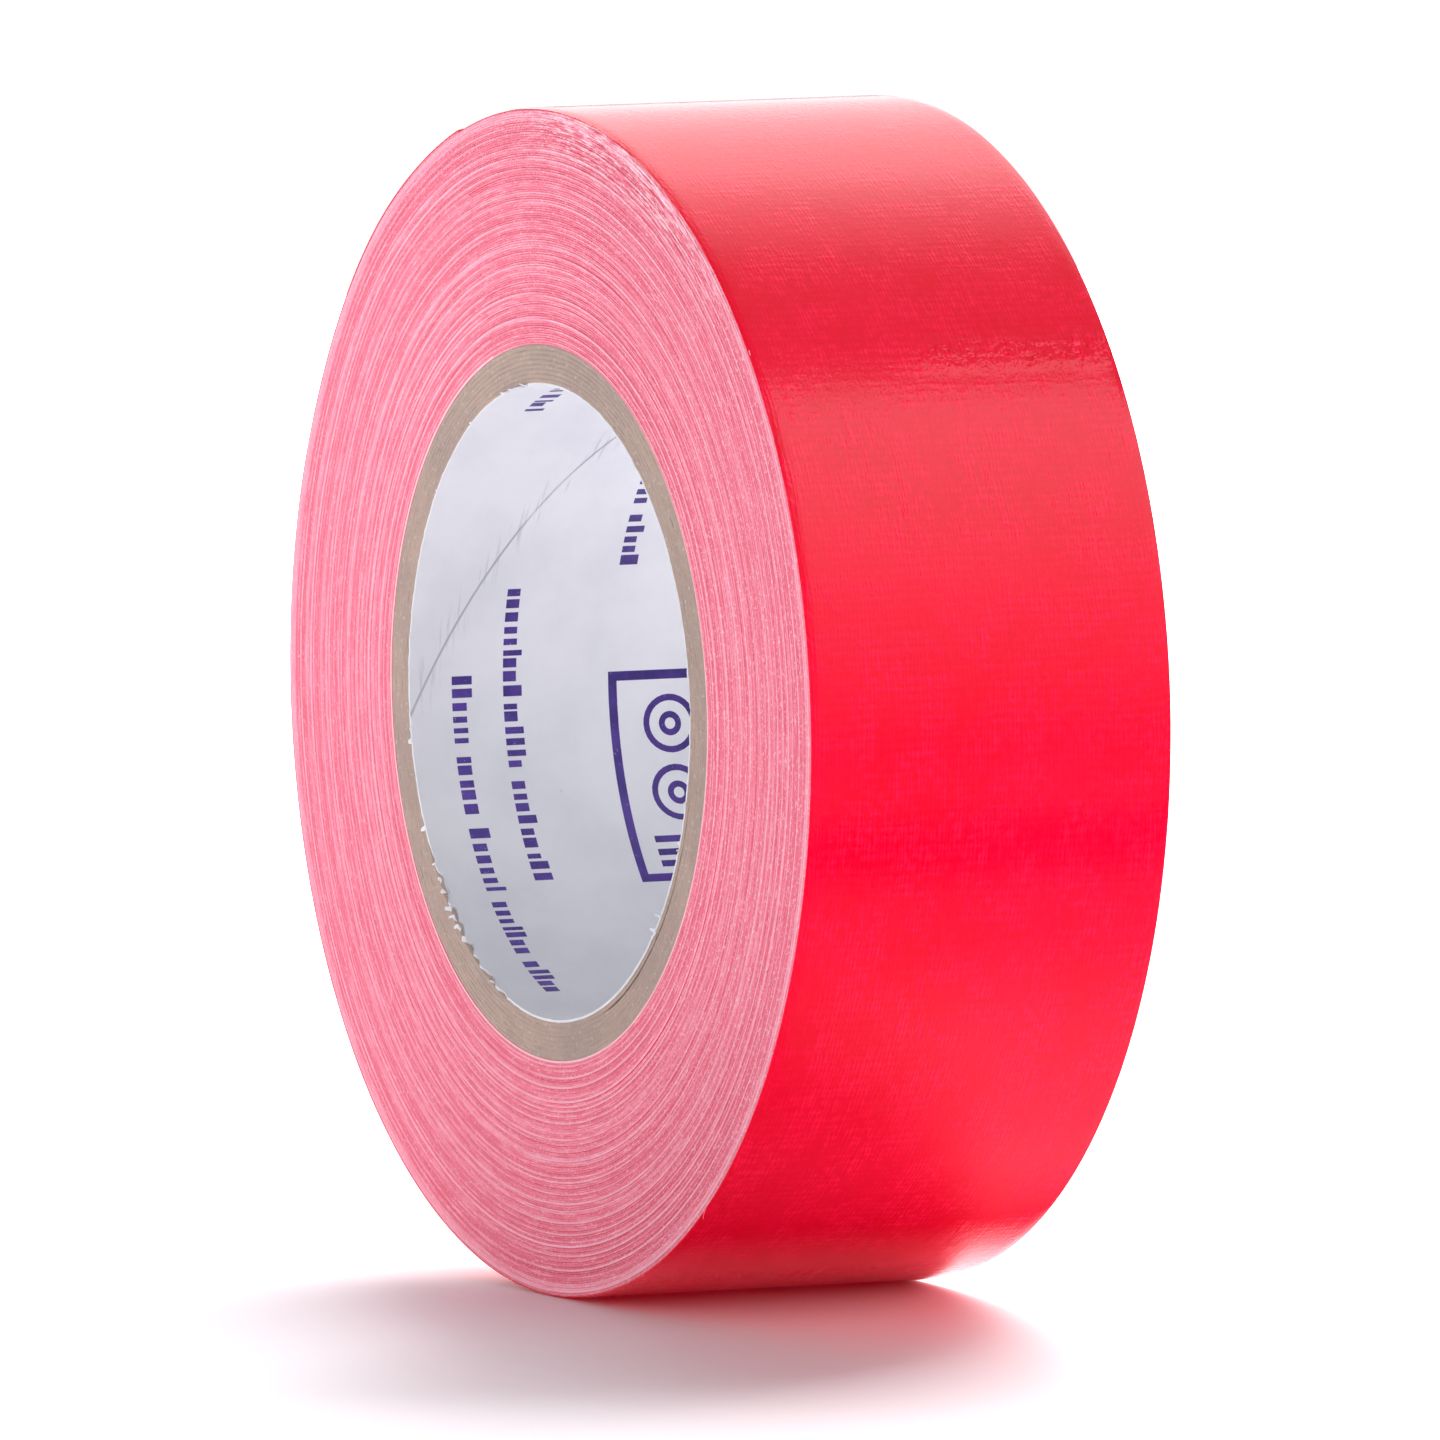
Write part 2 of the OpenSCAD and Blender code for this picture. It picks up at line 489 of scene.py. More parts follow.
    # the first turn, against the core, is pale
    start = rangeNode(tree, turns, 1.6, 0.4, 0.0, 0.7)
    colour = mixColour(tree, start, colour, look["lint"])
    link(tree, colour, shader.inputs["Base Color"])
    addBump(tree, shader, timesPlus(tree, tuft, 0.9, grain), look["fuzzDepth"])
    return material


boardLook = {
    "grey": (0.345, 0.262, 0.225), "brown": (0.41, 0.302, 0.25), "light": (0.66, 0.60, 0.55),
    "dark": (0.16, 0.11, 0.08), "pulpDepth": 0.15 * mm,
}


def boardMaterial():
    look = boardLook
    material, tree, shader = newMaterial("chipboard", 0.85)
    place = objectVector(tree)
    pulp = noiseNode(tree, place, 1300.0, 5.0, 0.75)
    tint = noiseNode(tree, place, 90.0, 3.0)
    layers = useGroup(tree, turnStreaks, place, Along=9.0, Across=2.6)
    mixed = timesPlus(tree, layers["Streak"], 0.9, mathNode(tree, "ADD", tint, -0.45))
    colour = mixColour(tree, rangeNode(tree, mixed, 0.3, 0.75), look["grey"], look["brown"])
    colour = mixColour(tree, rangeNode(tree, pulp, 0.55, 0.72, 0.0, 0.7), colour, look["light"])
    colour = mixColour(tree, rangeNode(tree, pulp, 0.42, 0.30, 0.0, 0.6), colour, look["dark"])
    link(tree, colour, shader.inputs["Base Color"])
    addBump(tree, shader, timesPlus(tree, layers["Streak"], 0.8, pulp), look["pulpDepth"])
    return material


linerLook = {
    "white": (0.75, 0.76, 0.80), "cool": (0.68, 0.695, 0.74), "smudge": (0.42, 0.43, 0.48),
    "roughness": 0.48, "fibreDepth": 0.02 * mm,
    # the spiral seam: a point that it passes through, and how far it climbs in a turn
    "scuffAngle": 129, "scuffY": -2.7 * mm, "lead": -131.4 * mm,
}


def linerMaterial():
    look = linerLook
    material, tree, shader = newMaterial("linerPaper", look["roughness"], IOR=1.45)
    uv = uvVector(tree)
    cloud = noiseNode(tree, uv, 0.08, 4.0)
    colour = mixColour(tree, rangeNode(tree, cloud, 0.35, 0.7), look["white"], look["cool"])
    parts = separated(tree, uv)
    # distance from the spiral seam, in millimetres across the paper
    slope = look["lead"] / (2 * math.pi * boreR)
    seamU = math.radians(look["scuffAngle"]) * boreR / mm
    seamV = look["scuffY"] / mm - slope * seamU
    seamLine = timesPlus(tree, parts["X"], slope, seamV)
    away = mathNode(tree, "ABSOLUTE", mathNode(tree, "SUBTRACT", parts["Y"], seamLine))
    rubbed = stretched(tree, uv, (0.10, 1.6, 1), -math.atan(slope))
    streak = noiseNode(tree, rubbed, 1.0, 4.0, 0.65)
    nearSeam = rangeNode(tree, away, 3.0, 0.3, 0.0, 1.0)
    scuff = times(tree, nearSeam, rangeNode(tree, streak, 0.52, 0.66))
    colour = mixColour(tree, times(tree, scuff, 0.6), colour, look["smudge"])
    # painted shadow line along the seam, where the paper's edge overlaps; the same colour serves for real
    # smudges and spots
    seamShadowLine = times(tree, rangeNode(tree, away, 0.16, 0.04), rangeNode(tree, cloud, 0.3, 0.6, 0.3, 0.9))
    colour = mixColour(tree, seamShadowLine, colour, look["smudge"])
    spot = noiseNode(tree, uv, 0.5, 5.0, 0.7)
    colour = mixColour(tree, rangeNode(tree, spot, 0.66, 0.80, 0.0, 0.45), colour, look["smudge"])
    link(tree, colour, shader.inputs["Base Color"])
    fibre = noiseNode(tree, uv, 4.0, 4.0, 0.7)
    height = mathNode(tree, "ADD", fibre, times(tree, cloud, 3.0))
    addBump(tree, shader, height, look["fibreDepth"])
    return material


inkLook = {"deep": (0.030, 0.010, 0.155), "light": (0.060, 0.022, 0.23), "worn": (0.60, 0.62, 0.74)}


def inkMaterial():
    material, tree, shader = newMaterial("purpleInk", 0.45)
    place = objectVector(tree)
    wear = noiseNode(tree, place, 2600.0, 3.0, 0.7)
    tone = noiseNode(tree, place, 300.0, 2.0)
    colour = mixColour(tree, rangeNode(tree, tone, 0.3, 0.7), inkLook["deep"], inkLook["light"])
    colour = mixColour(tree, rangeNode(tree, wear, 0.66, 0.76, 0.0, 0.8), colour, inkLook["worn"])
    link(tree, colour, shader.inputs["Base Color"])
    return material


clothLook = {"under": (0.70, 0.16, 0.22), "thread": (0.93, 0.50, 0.57), "depth": 0.06 * mm}
adhesiveLook = {"under": (0.78, 0.30, 0.36), "thread": (0.94, 0.60, 0.64), "depth": 0.05 * mm}


def clothMaterial():
    material, tree, shader = newMaterial("scrimCloth", 0.8)
    uv = uvVector(tree)
    threads = useGroup(tree, weave, uv, Warp=0.55, Weft=1.15, Wander=0.4)
    fuzz = noiseNode(tree, uv, 6.0, 4.0, 0.7)
    tone = timesPlus(tree, fuzz, 0.6, threads["Height"])
    colour = mixColour(tree, rangeNode(tree, tone, 0.3, 1.0), clothLook["under"], clothLook["thread"])
    link(tree, colour, shader.inputs["Base Color"])
    addBump(tree, shader, tone, clothLook["depth"])
    return material


def adhesiveMaterial():
    # rubber adhesive spread over the cloth: the threads show through it
    material, tree, shader = newMaterial("rubberAdhesive", 0.42)
    uv = uvVector(tree)
    threads = useGroup(tree, weave, uv, Warp=0.55, Weft=1.15, Wander=0.4)
    cloud = noiseNode(tree, uv, 0.35, 5.0, 0.6)
    tone = timesPlus(tree, cloud, 0.8, threads["Height"])
    colour = mixColour(tree, rangeNode(tree, tone, 0.35, 1.15), adhesiveLook["under"],
                       adhesiveLook["thread"])
    link(tree, colour, shader.inputs["Base Color"])
    link(tree, rangeNode(tree, cloud, 0.35, 0.7, 0.30, 0.55), shader.inputs["Roughness"])
    addBump(tree, shader, tone, adhesiveLook["depth"])
    return material


def lintMaterial():
    material, tree, shader = newMaterial("cottonLint", 0.9)
    fuzz = noiseNode(tree, objectVector(tree), 3000.0, 2.0)
    link(tree, mixColour(tree, fuzz, (0.90, 0.52, 0.60), (0.97, 0.86, 0.88)), shader.inputs["Base Color"])
    return material


redFilm = filmMaterial()
tapeEdge = edgeMaterial()
chipboard = boardMaterial()
linerPaper = linerMaterial()
purpleInk = inkMaterial()
scrimCloth = clothMaterial()
rubberAdhesive = adhesiveMaterial()
cottonLint = lintMaterial()
print("materials made")


# core

plyShape = {"steps": 300, "endRough": 0.06 * mm, "gapPly": 2, "gapDepth": 1.6 * mm,
            "gapAngles": (292, 350), "corner": 0.06 * mm}


def makePly(number, node):
    shape = plyShape
    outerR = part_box(node)[1].z
    innerR = boreR + linerT if number == 1 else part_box(plyNames[number - 2])[1].z
    bm = sweepProfile(wallProfile(innerR, outerR, halfWidth, 2, 2, 4), 0, 360, shape["steps"])
    gapFrom, gapTo = shape["gapAngles"]
    for vert in bm.verts:
        radius, angle = polarOf(vert.co, 0)
        if abs(vert.co.y) < halfWidth - 0.01 * mm:
            continue
        side = math.copysign(1, vert.co.y)
        share = (radius - innerR) / (outerR - innerR)
        inward = shape["endRough"] * (0.5 + ringNoise(angle, 26, number * 3.1 + side + share))
        # the edges of each ply are pressed in a little
        inward += shape["corner"] * (2 * share - 1) ** 4
        if number == shape["gapPly"] and side < 0 and gapFrom < angle < gapTo:
            middle = (angle - gapFrom) / (gapTo - gapFrom)
            inward += shape["gapDepth"] * math.sin(math.pi * middle) * max(0, 1 - share * 2.4)
        vert.co.y -= side * inward
    layUv(bm, 0)
    piece = finishPiece("corePly%d" % number, bm, [chipboard], 60)
    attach(piece, "roll")
    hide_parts(node)


linerShape = {
    "lip": 0.07 * mm, "lipColumns": 3, "seamGap": 0.06,
    "columns": 480, "rows": 60, "ragged": 0.09 * mm,
    # torn stretches of the front edge: angle, width in degrees, depth
    "tears": ((229, 12, 1.5 * mm), (247, 7, 0.7 * mm), (102, 8, 0.5 * mm), (70, 10, 0.3 * mm),
              (12, 14, 0.25 * mm)),
}


def makeLiner():
    # a tube of paper whose columns lean with the spiral, so that one of them is its seam
    shape = linerShape
    outerR = boreR + linerT - 0.01 * mm
    rise = linerLook["lead"] / 360
    seamAngle = linerLook["scuffAngle"]
    points = wallProfile(boreR, outerR, halfWidth, shape["rows"], shape["rows"], 1)
    bm = sweepProfile(points, seamAngle, 360, shape["columns"])
    spacing = 360 / shape["columns"]
    for vert in bm.verts:
        radius, angle = polarOf(vert.co, seamAngle)
        column = round((angle - seamAngle) / spacing)
        if column == 1:
            angle = seamAngle + shape["seamGap"]
        y = vert.co.y
        leaned = angle + (y - linerLook["scuffY"]) / rise
        if radius < boreR + 0.01 * mm and 1 <= column <= shape["lipColumns"] + 1:
            radius -= shape["lip"] * (1 - (column - 1) / shape["lipColumns"])
        if abs(y) > halfWidth - 0.01 * mm:
            side = math.copysign(1, y)
            inward = shape["ragged"] * (0.6 + ringNoise(leaned, 30, side * 5))
            for tearAngle, width, depth in shape["tears"] if side < 0 else ():
                away = (leaned - tearAngle + 180) % 360 - 180
                rough = 0.45 + ringNoise(leaned, 26, 7.0) + 0.5 * ringNoise(leaned, 60, 9.0)
                inward += depth * bump(away, width) * max(0, rough)
            y -= side * inward
        vert.co = rimPoint(radius, leaned, y)
    bmesh.ops.recalc_face_normals(bm, faces=bm.faces)
    layUv(bm, 0)
    piece = finishPiece("coreLiner", bm, [linerPaper])
    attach(piece, "roll")
    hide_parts("core_liner")


burrShape = {"count": 40, "length": (0.3 * mm, 0.85 * mm), "width": (0.3 * mm, 0.9 * mm),
             "thickness": 0.04 * mm, "zones": ((228, 12), (103, 9), (330, 24), (200, 60))}


def makeBurrs():
    # flakes of liner paper that the core cutter lifted at the front edge
    shape = burrShape
    draw = random.Random(11)
    bm = bmesh.new()
    for i in range(shape["count"]):
        centre, spread = shape["zones"][i % len(shape["zones"])]
        angle = draw.gauss(centre, spread * 0.6)
        length = draw.uniform(*shape["length"])
        width = draw.uniform(*shape["width"])
        vertsBefore = len(bm.verts)
        grid = bmesh.ops.create_grid(bm, x_segments=2, y_segments=3, size=0.5)
        for vert in grid["verts"]:
            along = vert.co.y + 0.5
            taper = 1 - 0.55 * along ** 1.5
            vert.co = Vector((vert.co.x * width * taper + along * width * draw.uniform(-0.15, 0.15),
                              along * length, -0.35 * length * along ** 2))
        faces = list({face for vert in grid["verts"] for face in vert.link_faces})
        bmesh.ops.solidify(bm, geom=faces, thickness=shape["thickness"])
        lean = Matrix.Rotation(math.radians(draw.uniform(-30, 60)), 4, "X")
        twist = Matrix.Rotation(math.radians(draw.uniform(-35, 35)), 4, "Z")
        across = Vector((-math.sin(math.radians(angle)), 0, math.cos(math.radians(angle))))
        inward = -rimPoint(1, angle, 0)
        out = Vector((0, -1, 0))
        basis = Matrix((across, out, inward)).transposed().to_4x4()
        place = Matrix.Translation(rimPoint(boreR + 0.12 * mm, angle, -halfWidth + 0.25 * mm))
        bm.verts.ensure_lookup_table()
        flake = bm.verts[vertsBefore:]
        bmesh.ops.transform(bm, matrix=place @ basis @ twist @ lean, verts=flake)
    bmesh.ops.recalc_face_normals(bm, faces=bm.faces)
    layUv(bm, 0)
    piece = finishPiece("linerBurrs", bm, [linerPaper])
    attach(piece, "roll")


# plain bars and rings in place of any wording: (y, height, from angle, to angle)
printShape = {
    "rows": ((-16.8, 2.7, 181, 252), (-16.9, 2.5, 98, 119), (-10.0, 2.5, 165, 220),
             (-17.0, 2.4, 284, 304), (4.6, 2.4, 138, 160)),
    "bar": (0.55 * mm, 1.35 * mm), "gap": (0.45 * mm, 0.6 * mm), "space": 1.3 * mm,
    "height": 0.012 * mm, "thickness": 0.01 * mm,
}
# a frame of plain lines, with rings (along, radius) and upright bars in it, in mm
badgeShape = {
    "y": 11.0, "angle": 201, "wide": 26.0, "tall": 15.0, "line": 1.15, "linePieces": 12,
    "rings": ((-7.0, 3.6), (-7.0, 1.5), (1.6, 3.6), (1.6, 1.5)), "ringLine": 0.8,
    "bars": (7.6, 9.4, 11.0), "barWide": 0.9, "barShare": 0.62,
}


def wrapPatch(bm, verts, angle, y):
    # bends a flat patch of (along, across) onto the liner
    for vert in verts:
        along = vert.co.x
        across = vert.co.y
        lift = printShape["height"] + vert.co.z
        vert.co = rimPoint(boreR - lift, angle + math.degrees(along / boreR), y + across)


def addBar(bm, angle, y, length, height):
    grid = bmesh.ops.create_grid(bm, x_segments=2, y_segments=2, size=0.5)
    bmesh.ops.scale(bm, vec=(length, height, 1), verts=grid["verts"])
    wrapPatch(bm, grid["verts"], angle, y)


def addBadge(bm):
    badge = badgeShape
    wide, tall, line = badge["wide"] * mm, badge["tall"] * mm, badge["line"] * mm
    centreY = badge["y"] * mm
    count = badge["linePieces"]

    def angleAt(along):
        return badge["angle"] + math.degrees(along / boreR)

    for side in (-1, 1):
        addBar(bm, angleAt(side * wide / 2), centreY, line, tall + line)
        for part in range(count):
            along = (part - (count - 1) / 2) * wide / count
            addBar(bm, angleAt(along), centreY + side * tall / 2, wide / count, line)
    for along, ringR in badge["rings"]:
        ringVerts = []
        for radius in (ringR - badge["ringLine"], ringR):
            circle = bmesh.ops.create_circle(bm, segments=28, radius=radius * mm, cap_ends=False)
            ringVerts += circle["verts"]
        ringEdges = list({edge for vert in ringVerts for edge in vert.link_edges})
        bmesh.ops.bridge_loops(bm, edges=ringEdges)
        bmesh.ops.translate(bm, vec=(along * mm, 0, 0), verts=ringVerts)
        wrapPatch(bm, ringVerts, badge["angle"], centreY)
    for along in badge["bars"]:
        addBar(bm, angleAt(along * mm), centreY, badge["barWide"] * mm, tall * badge["barShare"])


def makePrint():
    shape = printShape
    draw = random.Random(5)
    bm = bmesh.new()
    for rowY, height, startAngle, endAngle in shape["rows"]:
        angle = startAngle
        sinceSpace = 0
        while angle < endAngle:
            length = draw.uniform(*shape["bar"])
            tall = height * mm * draw.choice((0.7, 0.72, 1.0))
            addBar(bm, angle, (rowY * mm) - (height * mm - tall) / 2, length, tall)
            gap = draw.uniform(*shape["gap"])
            sinceSpace += 1
            if sinceSpace > 4 and draw.random() < 0.35:
                gap += shape["space"]
                sinceSpace = 0
            angle += math.degrees((length + gap) / boreR)
    addBadge(bm)
    bmesh.ops.solidify(bm, geom=bm.faces[:], thickness=shape["thickness"])
    bmesh.ops.recalc_face_normals(bm, faces=bm.faces)
    layUv(bm, 0)
    piece = finishPiece("linerPrint", bm, [purpleInk])
    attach(piece, "roll")


for i, node in enumerate(plyNames):
    makePly(i + 1, node)
makeLiner()
makeBurrs()
makePrint()
print("core made")


# wound tape

turnShape = {
    "steps": 360, "groove": 0.07 * mm, "uneven": 0.014 * mm, "wander": 0.030 * mm,
    "everyTurns": (4, 9), "proud": (0.06 * mm, 0.17 * mm), "shadow": 0.04 * mm, "proudRange": 0.3 * mm,
    # where the ridge of a turn starts and ends, in shares of its thickness
    "ridge": (0.26, 0.76), "grooveWide": 0.04,
    # loose turns near the rim, where the roll was handled
    "looseAngle": 432, "looseWidth": 26, "looseFrom": 74, "looseDepth": 0.20 * mm,
}
turnDraw = random.Random(23)
turnOffsets = {}
turnTones = {}
for side in (-1, 1):
    untilProud = 3
    for turn in range(lastTurn + 2):
        turnOffsets[turn, side] = turnDraw.gauss(0, turnShape["uneven"])
        turnTones[turn, side] = turnDraw.random()
        untilProud -= 1
        if untilProud == 0:
            turnOffsets[turn, side] += turnDraw.uniform(*turnShape["proud"])
            untilProud = turnDraw.randint(*turnShape["everyTurns"])
        elif untilProud == turnShape["everyTurns"][0] - 1:
            turnOffsets[turn, side] -= turnShape["shadow"]


def alongTurns(values, turn, side, angle):
    # a value of each turn, which runs into the value of the turn that it joins
    joining = max(0, (angle - tailEnd) / 30 - 11)
    return values[turn, side] * (1 - joining) + values[max(0, turn - 1), side] * joining


shiftFound = {}


def turnShift(turn, side, angle):
    # how far one turn stands out of the side of the roll, the same where it joins the next
    key = (turn, side, round(angle, 2))
    if key in shiftFound:
        return shiftFound[key]
    shape = turnShape
    joined = turn - (angle - tailEnd) / 360
    own = alongTurns(turnOffsets, turn, side, angle)
    slow = ringNoise(angle, 1.2, joined * 0.22 + side * 40)
    quick = ringNoise(angle, 5.0, joined * 1.7 + side * 11)
    shift = own * (0.85 + 0.7 * slow) + shape["wander"] * (slow + 0.5 * quick)
    share = (turn - shape["looseFrom"]) / (lastTurn - shape["looseFrom"])
    if share > 0 and side < 0:
        loose = share * bump(angle - shape["looseAngle"], shape["looseWidth"])
        shift += shape["looseDepth"] * loose * (ringNoise(angle, 17, joined * 0.9) - 0.25)
    shiftFound[key] = shift
    return shift


def makeTurns(number, node):
    shape = turnShape
    firstTurn = (number - 1) * groupTurns
    innerR = coreR + firstTurn * tapeT
    front = []
    for turn in range(groupTurns):
        base = innerR + turn * tapeT
        front.append((base + shape["grooveWide"] * tapeT, halfWidth - shape["groove"]))
        front += [(base + share * tapeT, halfWidth) for share in shape["ridge"]]
    front.append((innerR + groupTurns * tapeT, halfWidth - shape["groove"]))
    points = [(radius, -y) for radius, y in front] + list(reversed(front))
    bm = sweepProfile(points, tailEnd, 359.98, shape["steps"])
    uvLayer = bm.loops.layers.uv.new("tapeUv")
    proudLayer = bm.verts.layers.float.new("proud")
    toneLayer = bm.verts.layers.float.new("tone")
    meanR = (coreR + rollR) / 2
    for face in bm.faces:
        centre = face.calc_center_median()
        isWall = abs(centre.y) < halfWidth / 2
        face.material_index = 1 if isWall else 0
        centreAngle = polarOf(centre, tailEnd)[1]
        for loop in face.loops:
            radius, angle = polarOf(loop.vert.co, tailEnd)
            angle -= 360 * round((angle - centreAngle) / 360)
            across = loop.vert.co.y / mm if isWall else (radius - coreR) / tapeT
            loop[uvLayer].uv = (math.radians(angle) * meanR / mm, across)
    for vert in bm.verts:
        radius, angle = polarOf(vert.co, tailEnd)
        side = math.copysign(1, vert.co.y)
        turn = firstTurn + min(groupTurns - 1, int((radius - innerR) / tapeT))
        shift = turnShift(turn, side, angle)
        vert[proudLayer] = 0.5 + shift / shape["proudRange"]
        vert[toneLayer] = alongTurns(turnTones, turn, side, angle)
        vert.co = rimPoint(windIn(radius, angle), angle, vert.co.y + side * shift)
    nodeNumber = node.replace("tape_turns_", "").replace("_", "to")
    piece = finishPiece("tapeTurns" + nodeNumber, bm, [tapeEdge, redFilm], 50)
    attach(piece, "roll")
    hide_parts(node)


for i, node in enumerate(groupNames):
    makeTurns(i + 1, node)
print("wound tape made")


# outer turn and tail, each in its three layers

sheetShape = {
    "ripple": 0.014 * mm, "rippleAlong": 7.0, "rippleAcross": 26.0,
    "fine": 0.003 * mm, "edgeDrop": 0.16 * mm, "edgeWidth": 1.35 * mm,
    # air trapped under the film: angle, y in mm, radius in mm, height
    "blisters": ((35.4, 16.5, 2.4, 0.035 * mm), (33.6, 12.0, 1.7, 0.03 * mm), (36.0, 8.0, 2.0, 0.03 * mm),
                 (34.2, 4.0, 1.6, 0.022 * mm), (31.4, 1.5, 1.8, -0.02 * mm), (37.4, 20.0, 1.8, 0.03 * mm)),
    "rows": {"film": 72, "cloth": 12, "adhesive": 12}, "tailInnerRows": 40,
    "setIn": {"film": 0.03 * mm, "cloth": 0.10 * mm, "adhesive": 0.10 * mm},
}
layers = {
    "film": (rollR - filmT, rollR, redFilm, "tape_film"),
    "cloth": (rollR - filmT - clothT, rollR - filmT, scrimCloth, "tape_cloth"),
    "adhesive": (rollR - tapeT, rollR - filmT - clothT, rubberAdhesive, "tape_adhesive"),
}


def sheetLift(angle, y):
    # gentle ripples of the tape on the turn beneath it
    shape = sheetShape
    along = math.radians(angle) * rollR / mm
    across = y / mm
    ripple = Vector((along / shape["rippleAlong"], across / shape["rippleAcross"], 2.5))
    lift = shape["ripple"] * noise.noise(ripple)
    lift += shape["fine"] * noise.noise(Vector((along / 2.2, across / 4.0, 8.5)))
    for blisterAngle, blisterY, size, height in shape["blisters"]:
        away = (angle - blisterAngle + 180) % 360 - 180
        distance = math.hypot(math.radians(away) * rollR / mm, across - blisterY)
        lift += height * bump(distance, size)
    fromEdge = (halfWidth - abs(y)) / shape["edgeWidth"]
    if fromEdge < 1:
        lift -= shape["edgeDrop"] * (1 - fromEdge) ** 2
    return lift


def makeLayer(name, layer, fromAngle, toAngle, lifted=0.0):
    innerR, outerR, material, slot = layers[layer]
    shape = sheetShape
    innerRows = 12
    if lifted and layer == "adhesive":
        innerRows = shape["tailInnerRows"]
        innerR += lifted
    steps = max(4, round(toAngle - fromAngle))
    halfY = halfWidth - shape["setIn"][layer]
    points = wallProfile(innerR, outerR, halfY, shape["rows"][layer], innerRows, 1)
    bm = sweepProfile(points, fromAngle, toAngle - fromAngle, steps)
    for vert in bm.verts:
        radius, angle = polarOf(vert.co, fromAngle)
        y = vert.co.y
        share = abs(y) / halfWidth
        side = math.copysign(1, y)
        newR = windIn(radius, angle) + sheetLift(angle, y) * (1 if layer == "film" else 0.9)
        if share > 0.98:
            y += side * turnShift(lastTurn + 1, side, angle) * 0.6
        vert.co = rimPoint(newR, angle, y)
    layUv(bm, fromAngle)
    return finishPiece(name, bm, [material])


for layer in layers:
    piece = makeLayer("outerTurn" + layer.capitalize(), layer, tailRoot, tailEnd + 360)
    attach(piece, "roll")
    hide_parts("outer_turn_" + layer)
print("outer turn made")

# each stretch of the tail bends across one fold line, from the middle of one length to the next
tailBodies = ["roll"] + [joint["child"] for joint in frame["joints"]]
for i, foldAngle in enumerate(foldAngles):
    upper = tailRoot if i == 0 else foldAngle + foldStep / 2
    lower = foldAngle - foldStep / 2
    stop = tailEnd if i == len(foldAngles) - 1 else lower
    for layer in layers:
        piece = makeLayer("tail%d%s" % (i + 1, layer.capitalize()), layer, stop, upper, tailClearance)
        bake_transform(piece)
        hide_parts("tail_%d_%s" % (i + 1, layer))
print("tail made")


# loose cotton ends on the sides and at the free end

lintShape = {"front": 90, "rear": 70, "length": (0.4 * mm, 1.7 * mm), "radius": 0.022 * mm,
             "endCount": 26, "endLength": (0.6 * mm, 2.6 * mm)}


def addFibre(bm, start, direction, bend, length, radius):
    # a four-sided thread of a few short lengths
    steps = 5
    ring = bmesh.ops.create_circle(bm, segments=4, radius=radius, cap_ends=True)["verts"]
    turnIn = Vector((0, 0, 1)).rotation_difference(direction).to_matrix().to_4x4()
    bmesh.ops.transform(bm, matrix=Matrix.Translation(start) @ turnIn, verts=ring)
    face = [f for f in ring[0].link_faces if all(v in ring for v in f.verts)]
    heading = direction.copy()
    centre = start.copy()
    for step in range(steps):
        made = bmesh.ops.extrude_face_region(bm, geom=face)
        newVerts = [v for v in made["geom"] if isinstance(v, bmesh.types.BMVert)]
        newFaces = [f for f in made["geom"] if isinstance(f, bmesh.types.BMFace)]
        heading = (heading + bend / steps).normalized()
        bmesh.ops.translate(bm, vec=heading * length / steps, verts=newVerts)
        centre += heading * length / steps
        face = newFaces
    bmesh.ops.pointmerge(bm, verts=newVerts, merge_co=centre)


def makeLint(name, side, count, seed):
    shape = lintShape
    draw = random.Random(seed)
    bm = bmesh.new()
    for i in range(count):
        angle = draw.uniform(0, 360)
        radius = rollR - (rollR - coreR) * draw.random() ** 1.6 * 0.96 - 0.25 * mm
        along = Vector((-math.sin(math.radians(angle)), 0, math.cos(math.radians(angle))))
        along *= draw.choice((-1, 1))
        outward = Vector((0, side, 0))
        radial = rimPoint(1, angle, 0)
        direction = along + outward * draw.uniform(0.02, 0.5) + radial * draw.uniform(-0.3, 0.3)
        direction.normalize()
        bend = radial * draw.uniform(-0.9, 0.9) - outward * draw.uniform(0.0, 0.5)
        start = rimPoint(radius, angle, side * (halfWidth - 0.02 * mm))
        length = draw.uniform(*shape["length"])
        addFibre(bm, start, direction, bend, length, shape["radius"] * draw.uniform(0.6, 1.2))
    bmesh.ops.recalc_face_normals(bm, faces=bm.faces)
    piece = finishPiece(name, bm, [cottonLint], 80)
    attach(piece, "roll")


def makeTailThreads():
    shape = lintShape
    draw = random.Random(41)
    bm = bmesh.new()
    along = Vector((math.sin(math.radians(tailEnd)), 0, -math.cos(math.radians(tailEnd))))
    radial = rimPoint(1, tailEnd, 0)
    for i in range(shape["endCount"]):
        y = draw.uniform(-halfWidth, halfWidth) * 0.97
        radius = windIn(rollR - filmT - clothT / 2, tailEnd)
        direction = (along + radial * draw.uniform(0, 0.25)).normalized()
        bend = Vector((0, draw.uniform(-1.0, 1.0), 0)) - radial * 0.15
        length = draw.uniform(*shape["endLength"])
        addFibre(bm, rimPoint(radius, tailEnd + 0.15, y), direction, bend, length, shape["radius"])
    bmesh.ops.recalc_face_normals(bm, faces=bm.faces)
    piece = finishPiece("tailThreads", bm, [cottonLint], 80)
    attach(piece, tailBodies[-1])


makeLint("frontLint", -1, lintShape["front"], 3)
makeLint("rearLint", 1, lintShape["rear"], 9)
makeTailThreads()
print("lint made")


# floor, light and camera

